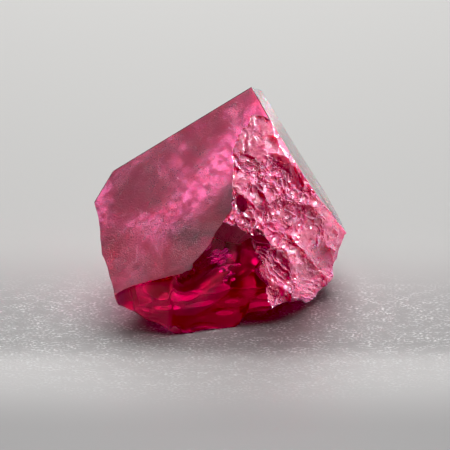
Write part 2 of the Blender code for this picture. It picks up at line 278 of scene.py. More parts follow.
# Lamps: where, what they face, size, radiance, and whether they light only the stone
LAMPS = {
    "softbox_behind": ((0, 85, 80), (0, 15, 0), 60, 5.3, False),
    "softbox_above": ((0, 90, 215), (0, 0, 0), 160, 1.7, False),
    "softbox_right": ((162, -35, 138), LAMP_AIM, 120, 15.5, True),
    "softbox_left": ((-190, -60, 60), LAMP_AIM, 120, 3.0, True),
    "lamp_back": ((90, 120, 120), LAMP_AIM, 20, 40, True),
    "lamp_top": ((54, 66, 181), LAMP_AIM, 50, 75, True),
    "softbox_sheen": ((-112, -34, 160), LAMP_AIM, 90, 0.6, True),
}
# Small lamps that make the splinters sparkle: degrees right of the camera's side, and above the floor
SPARK_LAMPS = ((25, 50), (48, 24), (62, 66), (80, 38), (132, 34), (38, 78))
SPARK_DISTANCE, SPARK_SIZE, SPARK_RADIANCE = 200, 30, 115
LIT_FOR_THE_STONE = "lit_for_the_stone"  # the collection of what those lamps light

# The camera faces the broken front squarely
CAMERA_AIM = (0.2, 4.24, 0.0)  # u v w
CAMERA_DISTANCE = 220.0
FIELD = 18.0  # width of what the camera takes in
SENSOR = 36.0
BOUNCES = 32  # light crosses a clear stone many times before it comes out
MIRROR_BOUNCES = 24
BLACK_LEVEL = 0.015


def unit(v):
    return np.array(v, float) / np.linalg.norm(v)


def frame_facing(w, up=(0, 0, 1)):
    """Columns u, v, w of a frame whose w points out of a break and whose v is as near up as it can be."""
    w = unit(w)
    u = unit(np.cross(up, w))
    return np.column_stack((u, np.cross(w, u), w))


def front_frame():
    s, c = math.sin(FRONT_TIP), math.cos(FRONT_TIP)
    return np.array(((1, 0, 0), (0, s, -c), (0, c, s)), float)


def axis_directions():
    """The c axis and the six outward side normals, in the front frame."""
    flat = math.cos(AXIS_FORWARD)
    axis = np.array((math.cos(AXIS_CLIMB) * flat, math.sin(AXIS_CLIMB) * flat, math.sin(AXIS_FORWARD)))
    top = np.array((-math.sin(AXIS_CLIMB), math.cos(AXIS_CLIMB), 0.0))
    front = np.cross(axis, top)
    turned_top = math.cos(ROLL) * top - math.sin(ROLL) * front
    turned_front = math.cos(ROLL) * front + math.sin(ROLL) * top
    turns = [math.radians(60 * k) for k in range(6)]
    return axis, [math.cos(t) * turned_top + math.sin(t) * turned_front for t in turns]


def axis_point(normals):
    """A point of the c axis: the apex, moved in from the top and front faces by their distances."""
    top, front = normals[0], normals[1]
    rows = np.array((top, front, np.cross(top, front)))
    wants = (top @ APEX - FACE_DISTANCES[0], front @ APEX - FACE_DISTANCES[1], rows[2] @ APEX)
    return np.linalg.solve(rows, wants)


def to_metres(point):
    """A place in the row frame, in metres, from u v w in the front frame."""
    return Vector((front_frame() @ np.array(point, float) - (*MIDDLE, 0.0)) * MM)


def to_front(places):
    """Rows of u v w in the front frame, from rows of places in the row frame: the opposite of to_metres."""
    return (places / MM + (*MIDDLE, 0.0)) @ front_frame()


class Bowls:
    """Overlapping shallow bowls over an area. Where two meet they leave a crest, as shell-like breaks do."""

    def __init__(self, seed, area, spacing, depth, curve, stretch=1.0, heading=0, lean=0.0):
        """Bowls are drawn out along a heading in degrees, and each leans by up to so much."""
        rng = random.Random(seed)
        low, high = area
        self.low, self.spacing, self.stretch = low, spacing, stretch
        self.along = math.cos(math.radians(heading)), math.sin(math.radians(heading))
        columns, rows = (math.ceil((high[k] - low[k]) / spacing) for k in (0, 1))
        bowls = []
        for i in range(-1, columns + 1):
            for j in range(-1, rows + 1):
                x = low[0] + (i + rng.uniform(0.1, 0.9)) * spacing
                y = low[1] + (j + rng.uniform(0.1, 0.9)) * spacing
                bend = 0.5 / (rng.uniform(0.6, 1.4) * curve)
                leans = rng.uniform(-lean, lean), rng.uniform(-lean, lean)
                bowls.append((x, y, rng.uniform(0, depth), bend, *leans))
        self.bowls = np.array(bowls).reshape(columns + 2, rows + 2, 6)

    def around(self, u, v, reach):
        """Each bowl up to so many spacings away: how far off its middle is, squared, and its height here."""
        cells = [np.floor((p - low) / self.spacing).astype(int) + 1 for p, low in zip((u, v), self.low)]
        c, s = self.along
        steps = range(-reach, reach + 1)
        for offsets in ((i, j) for i in steps for j in steps):
            places = [np.clip(at + d, 0, n - 1) for at, d, n in zip(cells, offsets, self.bowls.shape)]
            x, y, level, bend, lean_u, lean_v = np.moveaxis(self.bowls[places[0], places[1]], -1, 0)
            du, dv = u - x, v - y
            away = (c * du + s * dv) ** 2 + ((c * dv - s * du) * self.stretch) ** 2
            yield away, level + bend * away + lean_u * du + lean_v * dv

    def height(self, u, v):
        """The lowest bowl at each place. A bowl more than three spacings away never shows."""
        lowest = np.full(np.shape(u), np.inf)
        for _, height in self.around(u, v, 3):
            lowest = np.minimum(lowest, height)
        return lowest

    def chips(self, u, v):
        """The bowls as flat leaning chips, each as far as its neighbours, with a step where two meet."""
        nearest, relief = np.full(np.shape(u), np.inf), np.zeros(np.shape(u))
        for away, height in self.around(u, v, 2):
            closer = away < nearest
            relief = np.where(closer, height, relief)
            nearest = np.where(closer, away, nearest)
        return relief


def smooth_path(points, steps=4):
    """A Catmull-Rom curve through the points."""
    p = np.array(points, float)
    p = np.vstack((2 * p[0] - p[1], p, 2 * p[-1] - p[-2]))
    t = np.linspace(0, 1, steps, endpoint=False)[:, None]
    runs = []
    for a, b, c, d in zip(p, p[1:], p[2:], p[3:]):
        bend = (2 * a - 5 * b + 4 * c - d) * t**2
        runs.append(0.5 * (2 * b + (c - a) * t + bend + (3 * b - a - 3 * c + d) * t**3))
    return np.vstack((*runs, p[-2]))


def beyond_path(path, u, v):
    """Distance from the path, positive to the left of someone who walks it from first to last point."""
    best = np.full(np.shape(u), np.inf)
    side = np.ones(np.shape(u))
    for (ax, ay), (bx, by) in zip(path, path[1:]):
        ex, ey = bx - ax, by - ay
        t = np.clip(((u - ax) * ex + (v - ay) * ey) / (ex * ex + ey * ey), 0, 1)
        away = np.hypot(u - ax - t * ex, v - ay - t * ey)
        nearer = away < best - 1e-9
        side = np.where(nearer, np.sign((v - ay) * ex - (u - ax) * ey), side)
        best = np.where(nearer, away, best)
    return best * side


def waves(parts, u, v):
    """A sum of waves, each with its size, its rates across and up, and its start."""
    return sum(size * np.sin(across * u + up * v + start) for size, across, up, start in parts)


def soft_min(a, b, blend):
    """The lower of two heights, with the crest where they meet rounded off."""
    share = np.clip(0.5 + 0.5 * (b - a) / blend, 0, 1)
    return b + (a - b) * share - blend * share * (1 - share)


def front_face(u, v):
    """Depth w of the whole front face."""
    n = axis_directions()[1][1]
    return APEX[2] - ((u - APEX[0]) * n[0] + (v - APEX[1]) * n[1]) / n[2]


def edge_cliff(u, v):
    """Stands in front of the front face inside its edge, and falls away behind it outside."""
    ragged = Bowls(41, FRONT_SHEET, 0.16, 0.05, 0.12).height(u, v) - 0.03
    ragged *= 0.15 + 0.85 * np.clip((v - 4.4) / 0.6, 0, 1)
    beyond = beyond_path(smooth_path(FRONT_EDGE), u, v) + ragged
    return front_face(u, v) - EDGE_SLOPE * np.maximum(beyond, -0.4)


def smooth_patch(u, v, kinds=(HACKLY, GLASSY)):
    """1 in the middle of the smooth patches of the hackly break that are of these kinds, 0 outside them."""
    patch = np.zeros(np.shape(u))
    for (at_u, at_v), length, width, heading, kind in SMOOTH_PATCHES:
        c, s = math.cos(math.radians(heading)), math.sin(math.radians(heading))
        along, across = c * (u - at_u) + s * (v - at_v), c * (v - at_v) - s * (u - at_u)
        inside = np.clip(1.6 * (1 - np.hypot(along / length, across / width)), 0, 1)
        patch = np.maximum(patch, inside * (kind in kinds))
    return patch


def splinters(u, v):
    """The fine relief of the hackly break: splinters drawn out down the slope, and small chips on them."""
    across, up = waves(SPLINTERS_ACROSS, u, v), waves(SPLINTERS_UP, u, v)
    x, y = u + across, v + up
    ribs = Bowls(7, FRONT_SHEET, 0.26, 0.06, 0.60, 2.4, -50, 0.26).chips(x, y)
    nicks = Bowls(8, FRONT_SHEET, 0.15, 0.04, 0.30, 1.8, -15, 0.36).chips(x, y)
    chips = Bowls(9, FRONT_SHEET, 0.10, 0.03, 0.20, 1.4, -35, 0.42).chips(u - up, v + across)
    busy = np.clip(0.75 + 0.6 * np.sin(1.1 * u + 2.3 * v) * np.sin(2.6 * u - 1.2 * v + 1), 0.3, 1.2)
    return (ribs + busy * (0.9 * nicks + chips) - 0.16) * (1 - 0.9 * smooth_patch(u, v))


def hackly(u, v):
    """Relief of the right-hand break: wide bowls and flat chips, with splinters on them."""
    coarse = Bowls(3, HACKLY_RELIEF, 1.0, 0.35, 1.2, 1.7, -55).height(u, v)
    middle = Bowls(5, HACKLY_RELIEF, 0.55, 0.12, 0.9, 1.5, -60, 0.14).chips(u, v)
    return 0.8 * coarse + middle - 0.22 + splinters(u, v)


def rough_side(u, v):
    """How far a place is to the rough side of the edge between the hackly break and the scoop."""
    return beyond_path(smooth_path(ROUGH_EDGE), u, v) + waves(ROUGH_EDGE_WAVES, u, v)


def rough_break(u, v):
    """The hackly break right of the front face, which turns away from the front towards the right."""
    upper = -0.80 - 0.42 * (u - 1.92) - 0.20 * (v - 8.56)
    lower = -0.30 - 0.46 * (u - 1.24) + 0.12 * (v - 3.64)
    right = -1.20 - 1.85 * (u - 3.20) + 0.50 * (v - 3.64)
    face = front_face(u, v)
    whole = np.minimum.reduce((upper, lower, right, face - EDGE_STEP)) + hackly(u, v)
    kept_under = np.minimum(whole, face - LEAST_STEP + 0.3 * splinters(u, v))
    return kept_under + ROUGH_EDGE_SLOPE * np.maximum(-rough_side(u, v), 0)


def main_scoop(u, v):
    """The big smooth shell-like scoop below the front face."""
    return -0.45 - 0.33 * (u - 0.4) + 0.10 * (v - 1.0) + 0.05 * (u - 0.4) ** 2 + 0.02 * (v - 2.0) ** 2


def left_scoop(u, v):
    return 0.30 + 0.31 * (u + 2.8) + 0.15 * (v - 1.0) + 0.08 * (u + 2.8) ** 2


def front_break(u, v):
    """All the breaks of the front as one height, which stays in front of the front face inside its edge."""
    cliff = edge_cliff(u, v)
    scoops = soft_min(main_scoop(u, v), left_scoop(u, v), RIDGE_BLEND)
    scoops += ROUGH_EDGE_SLOPE * np.maximum(rough_side(u, v), 0)
    fall = np.exp(-np.maximum(beyond_path(smooth_path(SCOOP_TOP), u, v), 0) / SCOOP_FALL)
    scoops += np.maximum(front_face(u, v) - scoops, 0) * fall
    return np.minimum(np.maximum(scoops, cliff), -soft_min(-rough_break(u, v), -cliff, CLIFF_BLEND))


def front_kind(u, v):
    """What each place of those breaks is: hackly right of the scoops, and glassy elsewhere."""
    rough = rough_break(u, v)
    is_rough = (rough < front_break(u, v) + 0.02) & (rough > edge_cliff(u, v) - 0.1)
    return np.where(is_rough & (smooth_patch(u, v, (GLASSY,)) < 0.45), HACKLY, GLASSY)


def left_end(u, v):
    """The snapped left end: a few wide bowls."""
    wide = Bowls(11, SIDE_RELIEF, 2.6, 0.15, 9.0)
    small = Bowls(12, SIDE_RELIEF, 0.9, 0.08, 2.2)
    return wide.height(u, v) + 0.5 * small.height(u, v) - 0.15


def lower_right(u, v):
    """The crumbled lower right side."""
    wide = Bowls(21, SIDE_RELIEF, 1.5, 0.35, 1.6)
    small = Bowls(22, SIDE_RELIEF, 0.6, 0.2, 0.6)
    return wide.height(u, v) + 0.6 * small.height(u, v) - 0.35


def underside(u, v):
    """The broken underside with the flat that it rests on. Seen from below, u is -x, v is y, w is depth."""
    x, y = -u, v
    left = np.maximum(0.38 * (-1.32 - x) - 0.22 * (y - 0.2), 1.5 * (-3.85 - x) + 0.6)
    right = np.minimum.reduce((0.60 + 0.05 * (x - 2.0), 1.2 * (x - 0.55), 1.2 * (3.7 - x), 0.6 * (3.9 - y)))
    back = 0.55 * (y - 6.2)
    spine = np.clip((y - 0.3) / 4.2, 0, 1)
    keel = 0.06 * np.maximum(np.hypot(x + 0.6 - 0.9 * spine, y - 0.3 - 4.2 * spine) - 1.3, 0) ** 2
    bowls = Bowls(31, UNDER_RELIEF, 1.3, 0.25, 2.0)
    broken = -np.maximum.reduce((left, right, back, keel)) + bowls.height(u, v) - 0.14
    return np.minimum(broken, 0)


class Carver:
    """Makes the prism and the cutters, and cuts one with the others, a unit to the millimetre."""

    def __init__(self):
        self.cutters = bpy.data.collections.new("cutters")
        bpy.context.scene.collection.children.link(self.cutters)
        self.kinds = [bpy.data.materials.new(name) for name in KINDS]

    def finished(self, name, mesh, kind=None):
        """An object made from the bmesh, its faces turned outward, and all of one kind if one is given."""
        bmesh.ops.recalc_face_normals(mesh, faces=mesh.faces[:])
        if mesh.calc_volume(signed=True) < 0:
            bmesh.ops.reverse_faces(mesh, faces=mesh.faces[:])
        if kind is not None:
            for face in mesh.faces:
                face.material_index = kind
        data = bpy.data.meshes.new(name)
        mesh.to_mesh(data)
        mesh.free()
        for material in self.kinds:
            data.materials.append(material)
        piece = bpy.data.objects.new(name, data)
        self.cutters.objects.link(piece)
        return piece

    def prism(self):
        """The crystal before it broke: six side faces, the flat upper end face and a bevel at the left."""
        to_world = front_frame()
        axis, normals = axis_directions()
        middle = axis_point(normals)
        mesh = bmesh.new()
        bmesh.ops.create_cube(mesh, size=ROUGH_BLOCK)
        cuts = [(middle + normal * distance, normal) for normal, distance in zip(normals, FACE_DISTANCES)]
        for at, normal in (*cuts, (APEX, axis), (LEFT_BEVEL_AT, LEFT_BEVEL_FACES)):
            geometry = mesh.verts[:] + mesh.edges[:] + mesh.faces[:]
            place, out = to_world @ at, to_world @ normal
            cut = bmesh.ops.bisect_plane(mesh, geom=geometry, plane_co=place, plane_no=out, clear_outer=True)
            edges = [e for e in cut["geom_cut"] if isinstance(e, bmesh.types.BMEdge)]
            bmesh.ops.contextual_create(mesh, geom=edges)
        bmesh.ops.remove_doubles(mesh, verts=mesh.verts, dist=PRISM_BEVEL)
        bevel = bmesh.ops.bevel(mesh, geom=mesh.edges[:], offset=PRISM_BEVEL, segments=1, affect="EDGES")
        for face in bevel["faces"]:
            face.material_index = GLASSY
        return self.finished("stone", mesh)

    def sheet(self, name, to_world, height, area, step, kind, at=(0, 0, 0)):
        """A solid whose inner side is the sheet w = height(u, v), for cutting away all that lies outside it.
        Its kind is one for all, or a function of u and v."""
        low, high = area
        columns, rows = (math.ceil((high[i] - low[i]) / step) for i in (0, 1))
        mesh = bmesh.new()
        bmesh.ops.create_grid(mesh, x_segments=columns, y_segments=rows, size=0.5)
        flat = np.array([v.co for v in mesh.verts])
        u, v = (low[i] + (flat[:, i] + 0.5) * (high[i] - low[i]) for i in (0, 1))
        inner = np.column_stack((u, v, np.minimum(height(u, v), CUTTER_REACH - 1)))
        for vert, place in zip(mesh.verts, inner):
            vert.co = place
        middles = np.array([face.calc_center_median() for face in mesh.faces])
        kinds = kind(middles[:, 0], middles[:, 1]) if callable(kind) else np.full(len(middles), kind)
        for face, face_kind in zip(mesh.faces, kinds):
            face.material_index = int(face_kind)
        rim = [e for e in mesh.edges if e.is_boundary]
        grown = bmesh.ops.extrude_edge_only(mesh, edges=rim)["geom"]
        for vert in grown:
            if isinstance(vert, bmesh.types.BMVert):
                vert.co.z = CUTTER_REACH
        bmesh.ops.contextual_create(mesh, geom=[e for e in grown if isinstance(e, bmesh.types.BMEdge)])
        matrix = Matrix.Translation(at) @ Matrix(to_world).to_4x4()
        bmesh.ops.transform(mesh, matrix=matrix, verts=mesh.verts)
        return self.finished(name, mesh)

    def box(self, name, to_world, at, size):
        """A box of the given size along u, v and w, with its middle at a point. It leaves natural faces."""
        mesh = bmesh.new()
        bmesh.ops.create_cube(mesh, size=1.0)
        matrix = Matrix.Translation(at) @ Matrix(to_world).to_4x4() @ Matrix.Diagonal((*size, 1.0))
        bmesh.ops.transform(mesh, matrix=matrix, verts=mesh.verts)
        return self.finished(name, mesh, NATURAL)

    def ball(self, name, at, radius):
        mesh = bmesh.new()
        bmesh.ops.create_icosphere(mesh, subdivisions=5, radius=radius)
        bmesh.ops.translate(mesh, vec=at, verts=mesh.verts)
        return self.finished(name, mesh, GLASSY)

    def cut(self, piece, cutter):
        boolean = piece.modifiers.new(cutter.name, "BOOLEAN")
        boolean.operation = "DIFFERENCE"
        boolean.solver = "EXACT"
        boolean.material_mode = "TRANSFER"
        boolean.object = cutter

    def result(self, piece):
        """The piece's mesh with its cuts made, in metres, and with the middle of the stone at the origin."""
        graph = bpy.context.evaluated_depsgraph_get()
        mesh = bpy.data.meshes.new_from_object(piece.evaluated_get(graph))
        mesh.transform(Matrix.Scale(MM, 4) @ Matrix.Translation((-MIDDLE[0], -MIDDLE[1], 0.0)))
        return mesh

    def clear(self):
        for piece in list(self.cutters.objects):
            bpy.data.objects.remove(piece)
        bpy.data.collections.remove(self.cutters)
        for kind in self.kinds:
            bpy.data.materials.remove(kind)


def prism_point(side, along, across, out):
    """A point by a side face: along the c axis from the apex, across the face from its middle, and out."""
    axis, normals = axis_directions()
    middle = axis_point(normals)
    start = middle + axis * (axis @ (np.array(APEX) - middle))
    normal = normals[side]
    outward = normal * (FACE_DISTANCES[side] + out)
    return front_frame() @ (start - axis * along + outward + np.cross(axis, normal) * across)


def break_sheets(carver, sizes):
    """The cutters of the breaks: the front, the left end, the lower right side and the underside."""
    front = front_frame()
    left = frame_facing(front @ LEFT_BREAK_FACES), front @ LEFT_BREAK_AT
    right = frame_facing(front @ RIGHT_BREAK_FACES), front @ RIGHT_BREAK_AT
    under = frame_facing((0, 0, -1), up=(0, 1, 0))
    fine, step = sizes.hackly_grid / MM, sizes.smooth_grid / MM
    return [
        carver.sheet("front_break", front, front_break, FRONT_SHEET, fine, front_kind),
        carver.sheet("left_end", left[0], left_end, SIDE_SHEET, step, WORN_PAINTED_DARK, left[1]),
        carver.sheet("lower_right", right[0], lower_right, SIDE_SHEET, step, HACKLY, right[1]),
        carver.sheet("underside", under, underside, UNDER_SHEET, step, DULL_PAINTED_DARK),
    ]


def small_cutters(carver):
    """Chips knocked off the edges, and the shallow steps and terrace of growth on natural faces."""
    axis, normals = axis_directions()
    to_world = front_frame()
    made = []
    for i, (side, along, across, out, radius) in enumerate(EDGE_CHIPS):
        made.append(carver.ball(f"chip_{i + 1}", prism_point(side, along, across, out), radius))
    for i, (side, along, across, length, width, depth) in enumerate(GROWTH_STEPS):
        turned = to_world @ np.column_stack((axis, np.cross(normals[side], axis), normals[side]))
        at = prism_point(side, along, across, 0)
        made.append(carver.box(f"growth_step_{i + 1}", turned, at, (length, width, 2 * depth)))
    outward = math.cos(TERRACE_TURN) * normals[0] + math.sin(TERRACE_TURN) * normals[1]
    outward = unit(outward - axis * (axis @ outward))
    turned = to_world @ np.column_stack((outward, np.cross(axis, outward), axis))
    at = prism_point(0, 0, 0, -FACE_DISTANCES[0]) + turned[:, 0] * (TERRACE_AT + TERRACE_REACH / 2)
    made.append(carver.box("end_terrace", turned, at, (TERRACE_REACH, 3 * TERRACE_REACH, 2 * TERRACE_DEPTH)))
    return made


def cracks(carver):
    """Thin wavy cavities inside the stone, where it has cracked and healed. They flash as mirrors."""
    rng = random.Random(61)
    mesh = bmesh.new()
    front = front_frame()
    for place, facing, spread, count, size in CRACK_CLUSTERS:
        main = frame_facing(facing)
        for i in range(count):
            off = main @ [rng.gauss(0, spread / 2), rng.gauss(0, spread / 2), (i - count / 2) * CRACK_SPACING]
            leaning = unit(facing) + [rng.uniform(-CRACK_LEAN, CRACK_LEAN) for _ in range(3)]
            turned = front @ frame_facing(leaning)
            length = size * rng.uniform(0.4, 1.2)
            width = length * rng.uniform(0.35, 0.8)
            seed = Vector((0, 0, 10.0 * len(mesh.verts)))
            for vert in bmesh.ops.create_icosphere(mesh, subdivisions=4, radius=1.0)["verts"]:
                x, y, z = vert.co
                ragged = 1 + CRACK_RAGGED * noise.noise(Vector((1.7 * x, 1.7 * y, 0)) + seed)
                ripple = noise.noise(Vector((x * length, y * width, 0)) / CRACK_RIPPLE + seed)
                depth = z * CRACK_GAP / 2 + CRACK_WAVE * ripple
                out = np.array((x * length * ragged, y * width * ragged, depth))
                vert.co = front @ (np.array(place) + off) + turned @ out
    return carver.finished("cracks", mesh, GLASSY)


def mark_faces(mesh):
    """Marks how etched, dull and painted dark, or hackly each face is, and how high its corners stand on the
    splinters.
    """
    kinds = [KINDS.index(m.name) for m in mesh.materials]
    slots = np.zeros(len(mesh.polygons), np.int32)
    mesh.polygons.foreach_get("material_index", slots)
    finish = np.array(kinds)[slots]
    normals = np.zeros(3 * len(mesh.polygons))
    mesh.polygons.foreach_get("normal", normals)
    at_end = normals.reshape(-1, 3) @ (front_frame() @ axis_directions()[0]) > ALONG_AXIS
    masks = {
        "etched": (finish == NATURAL) * np.where(at_end, END_FACE_ETCH, 1.0),
        "dull_painted_dark": (finish == DULL_PAINTED_DARK) + WORN_PAINTED_DARK_SHARE * (finish == WORN_PAINTED_DARK),
        "hackly": (finish == HACKLY) * 1.0,
    }
    for name, values in masks.items():
        mask = mesh.attributes.new(name, "FLOAT", "FACE")
        mask.data.foreach_set("value", values.astype(np.float32))
    places = np.zeros(3 * len(mesh.vertices))
    mesh.vertices.foreach_get("co", places)
    u, v, _ = to_front(places.reshape(-1, 3)).T
    crest = mesh.attributes.new("crest", "FLOAT", "POINT")
    crest.data.foreach_set("value", splinters(u, v).astype(np.float32))
    mesh.polygons.foreach_set("use_smooth", finish != NATURAL)
    mesh.polygons.foreach_set("material_index", np.zeros(len(mesh.polygons), np.int32))


def carve_stone(sizes):
    """The stone's mesh, with its faces marked and no material yet."""
    carver = Carver()
    stone = carver.prism()
    for cutter in (*break_sheets(carver, sizes), *small_cutters(carver), cracks(carver)):
        carver.cut(stone, cutter)
    mesh = carver.result(stone)
    mark_faces(mesh)
    mesh.set_sharp_from_angle(angle=SHARP_ANGLE)
    mesh.materials.clear()
    carver.clear()
    return mesh


def linear(hex_colour, alpha=1.0):
    """A linear colour from sRGB hex."""
    parts = [int(hex_colour[i : i + 2], 16) / 255 for i in (1, 3, 5)]
    return (*(p / 12.92 if p <= 0.04045 else ((p + 0.055) / 1.055) ** 2.4 for p in parts), alpha)


def add_node(tree, kind, inputs=(), **settings):
    """A node with its settings, and its inputs by name or number, each a value or a socket to link from."""
    node = tree.nodes.new(kind)
    for name, value in settings.items():
        setattr(node, name, value)
    for name, value in dict(inputs).items():
        if isinstance(value, bpy.types.NodeSocket):
            tree.links.new(value, node.inputs[name])
        else:
            node.inputs[name].default_value = value
    return node


def new_material(name):
    material = bpy.data.materials.new(name)
    material.use_nodes = True
    material.node_tree.nodes.clear()
    return material, material.node_tree


def beryl_values(tree):
    """Values that vary over the stone: clouds, distances and the marks of its faces, joined as in SUMS."""
    place = add_node(tree, "ShaderNodeTexCoord").outputs["Object"]
    axis, normals = axis_directions()
    turn = Vector(front_frame() @ axis).to_track_quat("X", "Z").inverted().to_euler()
    grown = add_node(tree, "ShaderNodeMapping", {"Vector": place, "Rotation": turn}).outputs[0]
    stretched = add_node(tree, "ShaderNodeMapping", {"Vector": grown, "Scale": (DRAWN_OUT, 1, 1)}).outputs[0]

    # How far a place is along the c axis, down across the front face, and from the plane of veils
    along = add_node(tree, "ShaderNodeSeparateXYZ", {"Vector": grown}).outputs["X"]
    down = Vector(front_frame() @ np.cross(axis, normals[1]))
    down *= -1 if down.z > 0 else 1
    across = Vector(front_frame() @ unit(VEIL_FACES))
    down_to, across_to = (
        add_node(tree, "ShaderNodeVectorMath", {0: place, 1: way / MM}, operation="DOT_PRODUCT").outputs[1]
        for way in (down, across)
    )
    top = (to_metres(APEX) / MM).dot(down)
    veil_at = (to_metres(VEIL_AT) / MM).dot(across)
    off = add_node(tree, "ShaderNodeMath", {0: across_to, 1: -veil_at}, operation="ADD").outputs[0]
    off = add_node(tree, "ShaderNodeMath", {0: off}, operation="ABSOLUTE").outputs[0]

    values = {
        name: add_node(tree, "ShaderNodeAttribute", attribute_name=name).outputs["Fac"]
        for name in ("etched", "dull_painted_dark", "hackly", "crest")
    }
    starts, ends = (edge * MM for edge in SHADED_ALONG)
    ranges = {
        "along": (along, starts, ends, SHADE_AT_LEFT, 0.0, "SMOOTHSTEP"),
        "low": (down_to, top + SHADED_BELOW[0], top + SHADED_BELOW[1], 0.0, 1.0, "SMOOTHSTEP"),
        "by_veil": (off, VEIL_CORE, VEIL_HALF_WIDTH, 1.0, 0.0, "SMOOTHSTEP"),
        "kept": ("low", 0.0, 1.0, 1.0, VEILS_KEPT_LOW, "LINEAR"),
        "bright": ("crest", *CREST_HEIGHTS, 0.0, 1.0, "LINEAR"),
    }
    for name, (source, *limits, shape) in ranges.items():
        inputs = {0: values.get(source, source), **dict(enumerate(limits, 1))}
        values[name] = add_node(tree, "ShaderNodeMapRange", inputs, interpolation_type=shape).outputs[0]
    for name, (size, low, high, detail, twist) in CLOUDS.items():
        cloud = add_node(
            tree,
            "ShaderNodeTexNoise",
            {
                "Vector": stretched if name == "lines" else grown,
                "Scale": 1 / (size * MM),
                "Detail": detail,
                "Roughness": CLOUD_ROUGHNESS,
                "Distortion": twist,
            },
        ).outputs[0]
        inputs = {"Value": cloud, "From Min": low, "From Max": high}
        within = add_node(tree, "ShaderNodeMapRange", inputs, interpolation_type="SMOOTHSTEP")
        values[name] = within.outputs[0]
    for name, how, *parts in SUMS:
        inputs = {i: values.get(part, part) for i, part in enumerate(parts)}
        values[name] = add_node(tree, "ShaderNodeMath", inputs, operation=how, use_clamp=True).outputs[0]
    return values


def beryl(look):
    """Red beryl, grown and broken. Its prism faces are etched to a fine frost, which veils it in pink. The
    shell-like breaks are clear and show the deep colour, and the hackly break is bright on its crests, which
    scatter more and are painted near white as a highlight. The dull and worn breaks are painted dark as
    shade."""
    material, tree = new_material("red_beryl_etched_and_broken")
    values = beryl_values(tree)
    etched, dull_painted_dark, hackly = (values[name] for name in ("etched", "dull_painted_dark", "hackly"))

    frosting, clouding, crests = (
        add_node(tree, "ShaderNodeMix", {0: values[name], 2: low, 3: high}).outputs[0]
        for name, low, high in (
            ("wisps", FROST_SPREAD[0] * look.frost, FROST_SPREAD[1] * look.frost),
            ("veil", 1 - look.milkiness, 1 - look.veils),
            ("bright", HACKLY_FINISH[1], 1 - look.crest_white),
        )
    )
    rough, clear = GLASSY_FINISH
    finishes = (etched, frosting, clouding), (dull_painted_dark, *DULL_FINISH), (hackly, HACKLY_FINISH[0], crests)
    for mask, roughness, clearness in finishes:
        rough = add_node(tree, "ShaderNodeMix", {0: mask, 2: rough, 3: roughness}).outputs[0]
        clear = add_node(tree, "ShaderNodeMix", {0: mask, 2: clear, 3: clearness}).outputs[0]

    frost, crest, colour = linear("#c44070"), linear("#dc588a"), linear("#ffffff")
    for amount, tone in (("shade", "#381c2c"), ("veil", "#ec70aa"), ("pits", "#5e2242")):
        inputs = {0: values[amount], 6: frost, 7: linear(tone)}
        frost = add_node(tree, "ShaderNodeMix", inputs, data_type="RGBA").outputs[2]
    # The crests are painted near white as a highlight; in part they are paler because they scatter more
    inputs = {0: values["bright"], 6: crest, 7: linear("#ffdce6")}
    crest = add_node(tree, "ShaderNodeMix", inputs, data_type="RGBA").outputs[2]
    # Dull and worn breaks are rough and less clear, and painted dark maroon as painted shade, which darkens
    # what shows through the stone
    for mask, tone in ((etched, frost), (dull_painted_dark, linear("#5a1c2e")), (hackly, crest)):
        colour = add_node(tree, "ShaderNodeMix", {0: mask, 6: colour, 7: tone}, data_type="RGBA").outputs[2]

    inputs = {"Height": values["relief"], "Strength": 1.0, "Distance": ETCH_DEPTH * MM}
    shader = add_node(
        tree,
        "ShaderNodeBsdfPrincipled",
        {
            "Base Color": colour,
            "Roughness": rough,
            "Transmission Weight": clear,
            "IOR": BERYL_IOR,
            "Normal": add_node(tree, "ShaderNodeBump", inputs).outputs[0],
            "Subsurface Weight": 1.0,
            "Subsurface Radius": SKIN_REACH,
            "Subsurface Scale": SKIN_DEPTH * MM,
        },
    )
    inputs = {"Color": (*look.body_colour, 1.0), "Density": look.depth_of_colour}
    volume = add_node(tree, "ShaderNodeVolumeAbsorption", inputs)
    add_node(tree, "ShaderNodeOutputMaterial", {"Surface": shader.outputs[0], "Volume": volume.outputs[0]})
    return material


